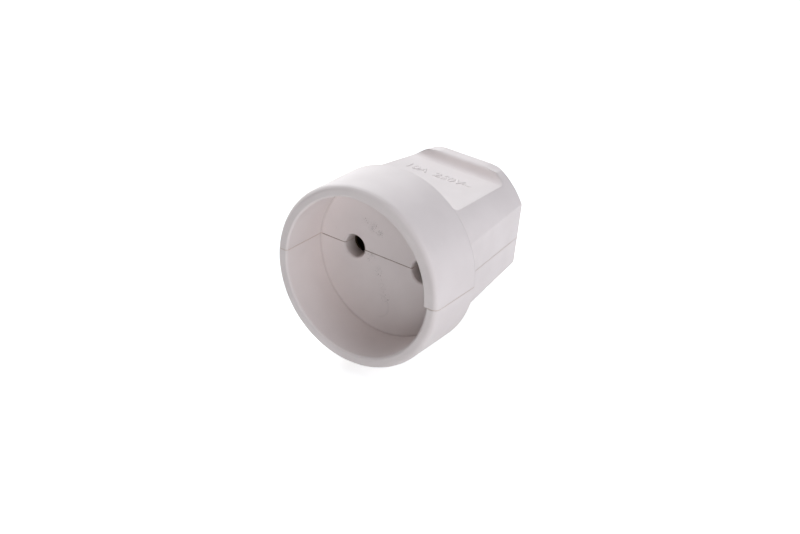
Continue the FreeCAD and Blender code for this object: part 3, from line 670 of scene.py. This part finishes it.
rating = bmesh.new()
for word, left in RATING:
    word_mesh = raised_word(word, left)
    rating.from_mesh(word_mesh)
    bpy.data.meshes.remove(word_mesh)
rating.transform(lay_down)
rating_mesh = bpy.data.meshes.new("recess_rating")
rating.to_mesh(rating_mesh)
rating.free()
add_piece("recess_rating", rating_mesh, housing)

# %% [markdown]
# ## Loose flecks in the cup
#
# A few grains of dirt lie on the cup's floor, thick in some places and thin in others. Geometry Nodes
# scatter them: strips of floor go in, points are strewn over them from a fixed seed, and each point gets a
# grain of its own size, half sunk in the floor.

# %% Geometry nodes: flecks
FLECK_SEED = 7
FLECKS_PER_SQUARE_MM = 0.9
FLECK_SMALLEST, FLECK_LARGEST = 0.03, 0.09
# ends of a strip on the cup's floor, x and z, and half its width
FLECK_STRIPS = [
    ((-8.2, 8.2), (-5.0, 6.8), 0.5),
    ((-5.0, 6.8), (-2.0, 5.4), 0.8),
    ((-6.6, -1.4), (-3.4, -0.2), 0.6),
    ((-2.6, -3.2), (-1.0, -6.4), 0.5),
    ((-0.4, -8.0), (0.8, -10.8), 0.6),
    ((9.1, -3.7), (9.7, -4.0), 0.3),
]

fleck_tree = bpy.data.node_groups.new("scattered_flecks", "GeometryNodeTree")
FLECK_INPUTS = [("Geometry", "Geometry"), ("Density", "Float"), ("Smallest", "Float"),
                ("Largest", "Float"), ("Seed", "Int"), ("Material", "Material")]
for label, kind in FLECK_INPUTS:
    fleck_tree.interface.new_socket(label, in_out="INPUT", socket_type="NodeSocket" + kind)
fleck_tree.interface.new_socket("Geometry", in_out="OUTPUT", socket_type="NodeSocketGeometry")
fleck_in = fleck_tree.nodes.new("NodeGroupInput").outputs
fleck_out = fleck_tree.nodes.new("NodeGroupOutput")
points = add_node(fleck_tree, "GeometryNodeDistributePointsOnFaces",
                  Mesh=fleck_in["Geometry"], Density=fleck_in["Density"], Seed=fleck_in["Seed"])
grain_shape = add_node(fleck_tree, "GeometryNodeMeshIcoSphere", Radius=1.0, Subdivisions=1)
size = add_node(fleck_tree, "FunctionNodeRandomValue", {"data_type": "FLOAT"}, Seed=fleck_in["Seed"])
fleck_tree.links.new(fleck_in["Smallest"], size.inputs[2])
fleck_tree.links.new(fleck_in["Largest"], size.inputs[3])
strewn = add_node(fleck_tree, "GeometryNodeInstanceOnPoints", Points=points.outputs["Points"],
                  Instance=grain_shape.outputs["Mesh"], Scale=size.outputs[1])
real = add_node(fleck_tree, "GeometryNodeRealizeInstances", Geometry=strewn.outputs[0])
painted = add_node(fleck_tree, "GeometryNodeSetMaterial",
                   Geometry=real.outputs[0], Material=fleck_in["Material"])
fleck_tree.links.new(painted.outputs[0], fleck_out.inputs[0])

# %% The flecks
corners, faces = [], []
for start, end, half in FLECK_STRIPS:
    start, end = Vector(start), Vector(end)
    across = (end - start).normalized().orthogonal() * half
    first = len(corners)
    outline = (start - across, end - across, end + across, start + across)
    corners += [laid(place.x, CUP_DEPTH, place.y) for place in outline]
    faces.append((first, first + 1, first + 2, first + 3))
strips_mesh = bpy.data.meshes.new("strips")
strips_mesh.from_pydata(corners, [], faces)
strips = bpy.data.objects.new("strips", strips_mesh)
bpy.context.scene.collection.objects.link(strips)
scatter = strips.modifiers.new("flecks", "NODES")
scatter.node_group = fleck_tree
settings = {
    "Density": FLECKS_PER_SQUARE_MM / MM**2,
    "Smallest": FLECK_SMALLEST * MM,
    "Largest": FLECK_LARGEST * MM,
    "Seed": FLECK_SEED,
    "Material": dust,
}
for item in fleck_tree.interface.items_tree:
    if item.in_out == "INPUT" and item.name in settings:
        scatter[item.identifier] = settings[item.name]
bpy.context.view_layer.update()
flecks_mesh = bpy.data.meshes.new_from_object(strips.evaluated_get(bpy.context.evaluated_depsgraph_get()))
strips.modifiers.remove(scatter)
bpy.data.objects.remove(strips)
bpy.data.meshes.remove(strips_mesh)
flecks_mesh.name = "cup_flecks"
add_piece("cup_flecks", flecks_mesh, dust)

# %% [markdown]
# ## Floor, world and lamps
#
# The socket lies on a plain white table in soft light. A strong soft light comes from the left, so the
# faces turned that way almost vanish against the white, and weaker ones fill from above and the right.

# %% Floor
WHITE = (1, 1, 1, 1)
TABLE_WHITE = (0.8, 0.8, 0.8, 1)
FLOOR_HALF = 3.0
# how white the floor looks near the socket, and between which distances it rises to full white
FLOOR_GLOW = 0.65
GLOW_FROM, GLOW_TO = 0.25, 1.0


def background_rays(tree):
    """One where a ray comes from the camera, off a shiny surface or through a clear one, else nought."""
    path = add_node(tree, "ShaderNodeLightPath")
    seen = maths(tree, "MAXIMUM", path.outputs["Is Camera Ray"], path.outputs["Is Glossy Ray"])
    return maths(tree, "MAXIMUM", seen, path.outputs["Is Transmission Ray"])


floor_mesh = bpy.data.meshes.new("floor")
corners = [(x * FLOOR_HALF, y * FLOOR_HALF, 0) for x, y in ((-1, -1), (1, -1), (1, 1), (-1, 1))]
floor_mesh.from_pydata(corners, [], [(0, 1, 2, 3)])
floor = bpy.data.objects.new("floor", floor_mesh)
bpy.context.scene.collection.objects.link(floor)

table, tree, shader, place = start_material("white_table")
tree.nodes.remove(shader)
matt = add_node(tree, "ShaderNodeBsdfDiffuse", Color=TABLE_WHITE)
away = add_node(tree, "ShaderNodeVectorMath", {"operation": "LENGTH"}, i0=place)
strength = ramp(tree, away.outputs["Value"], GLOW_FROM, GLOW_TO, FLOOR_GLOW, 1.0)
glow = add_node(tree, "ShaderNodeEmission", Color=WHITE,
                Strength=maths(tree, "MULTIPLY", background_rays(tree), strength))
both = add_node(tree, "ShaderNodeAddShader", i0=matt.outputs[0], i1=glow.outputs[0])
tree.links.new(both.outputs[0], tree.nodes["Material Output"].inputs["Surface"])
floor_mesh.materials.append(table)
print("the floor is", 2 * FLOOR_HALF, "m wide")

# %% World
AMBIENT, BACKDROP = 0.02, 1.0

world = bpy.data.worlds.new("studio")
bpy.context.scene.world = world
world.use_nodes = True
tree = world.node_tree
ambient = tree.nodes["Background"]
ambient.inputs["Color"].default_value = WHITE
ambient.inputs["Strength"].default_value = AMBIENT
backdrop = add_node(tree, "ShaderNodeBackground", Color=WHITE, Strength=BACKDROP)
choose = add_node(tree, "ShaderNodeMixShader",
                  i0=background_rays(tree), i1=ambient.outputs[0], i2=backdrop.outputs[0])
tree.links.new(choose.outputs[0], tree.nodes["World Output"].inputs["Surface"])

# %% Lamps
LAMP_DISTANCE = 0.7
LAMP_AIM = Vector((0, 0, 0.022))
SKY = (0.955, 1.0, 1.03)
COOL = (0.955, 1.0, 1.09)
FRONT = (0.995, 1.0, 1.02)
# name, azimuth from the front to the right, elevation, width, colour, watts
LAMPS = [
    ("left_key", -115, 27, 0.15, SKY, 1.92),
    ("left_high_key", -115, 42, 0.15, SKY, 1.24),
    ("right_high", 95, 42, 0.4, COOL, 1.00),
    ("left_high", -98, 42, 0.4, SKY, 1.08),
    ("right_front", 65, 12, 0.4, FRONT, 1.08),
    ("right_rear", 130, 12, 0.4, COOL, 0.42),
    ("front_right", 35, 12, 0.4, FRONT, 0.74),
    ("rear", -150, 27, 0.4, SKY, 0.60),
    ("right_key", 95, 27, 0.15, COOL, 0.38),
    ("left_front", -55, 27, 0.4, FRONT, 0.37),
    ("front_key", 35, 27, 0.15, FRONT, 0.30),
]


def make_lamp(name, azimuth, elevation, width, colour, watts):
    """A square soft lamp that looks at the socket."""
    a, e = math.radians(azimuth), math.radians(elevation)
    direction = Vector((math.sin(a) * math.cos(e), -math.cos(a) * math.cos(e), math.sin(e)))
    data = bpy.data.lights.new(name, "AREA")
    data.size = width
    data.color = colour
    data.energy = watts
    lamp = bpy.data.objects.new(name, data)
    lamp.location = LAMP_AIM + direction * LAMP_DISTANCE
    lamp.rotation_euler = direction.to_track_quat("Z", "Y").to_euler()
    bpy.context.scene.collection.objects.link(lamp)
    return lamp


lamps = [make_lamp(*row) for row in LAMPS]
print(len(lamps), "lamps,", sum(lamp.data.energy for lamp in lamps), "watts in all")

# %% [markdown]
# ## Camera
#
# The camera stands in front, to the right and above, and looks down at the socket with a short telephoto
# lens. It is level: the socket's slope comes from how it lies.

# %% Camera
CAMERA_AT = Vector((0.164362, -0.243017, 0.224307))
CAMERA_LOOKS_AT = Vector((-0.001672, -0.001661, 0.01507))
LENS, SENSOR = 67.32, 36
camera_data = bpy.data.cameras.new("camera")
camera_data.lens = LENS
camera_data.sensor_width = SENSOR
camera_data.clip_start = 0.01
camera = bpy.data.objects.new("camera", camera_data)
camera.location = CAMERA_AT
camera.rotation_euler = (CAMERA_LOOKS_AT - CAMERA_AT).to_track_quat("-Z", "Y").to_euler()
bpy.context.scene.collection.objects.link(camera)
bpy.context.scene.camera = camera
bpy.context.scene.view_settings.view_transform = "Standard"
print("the camera is", round((CAMERA_LOOKS_AT - CAMERA_AT).length, 3), "m from the socket")
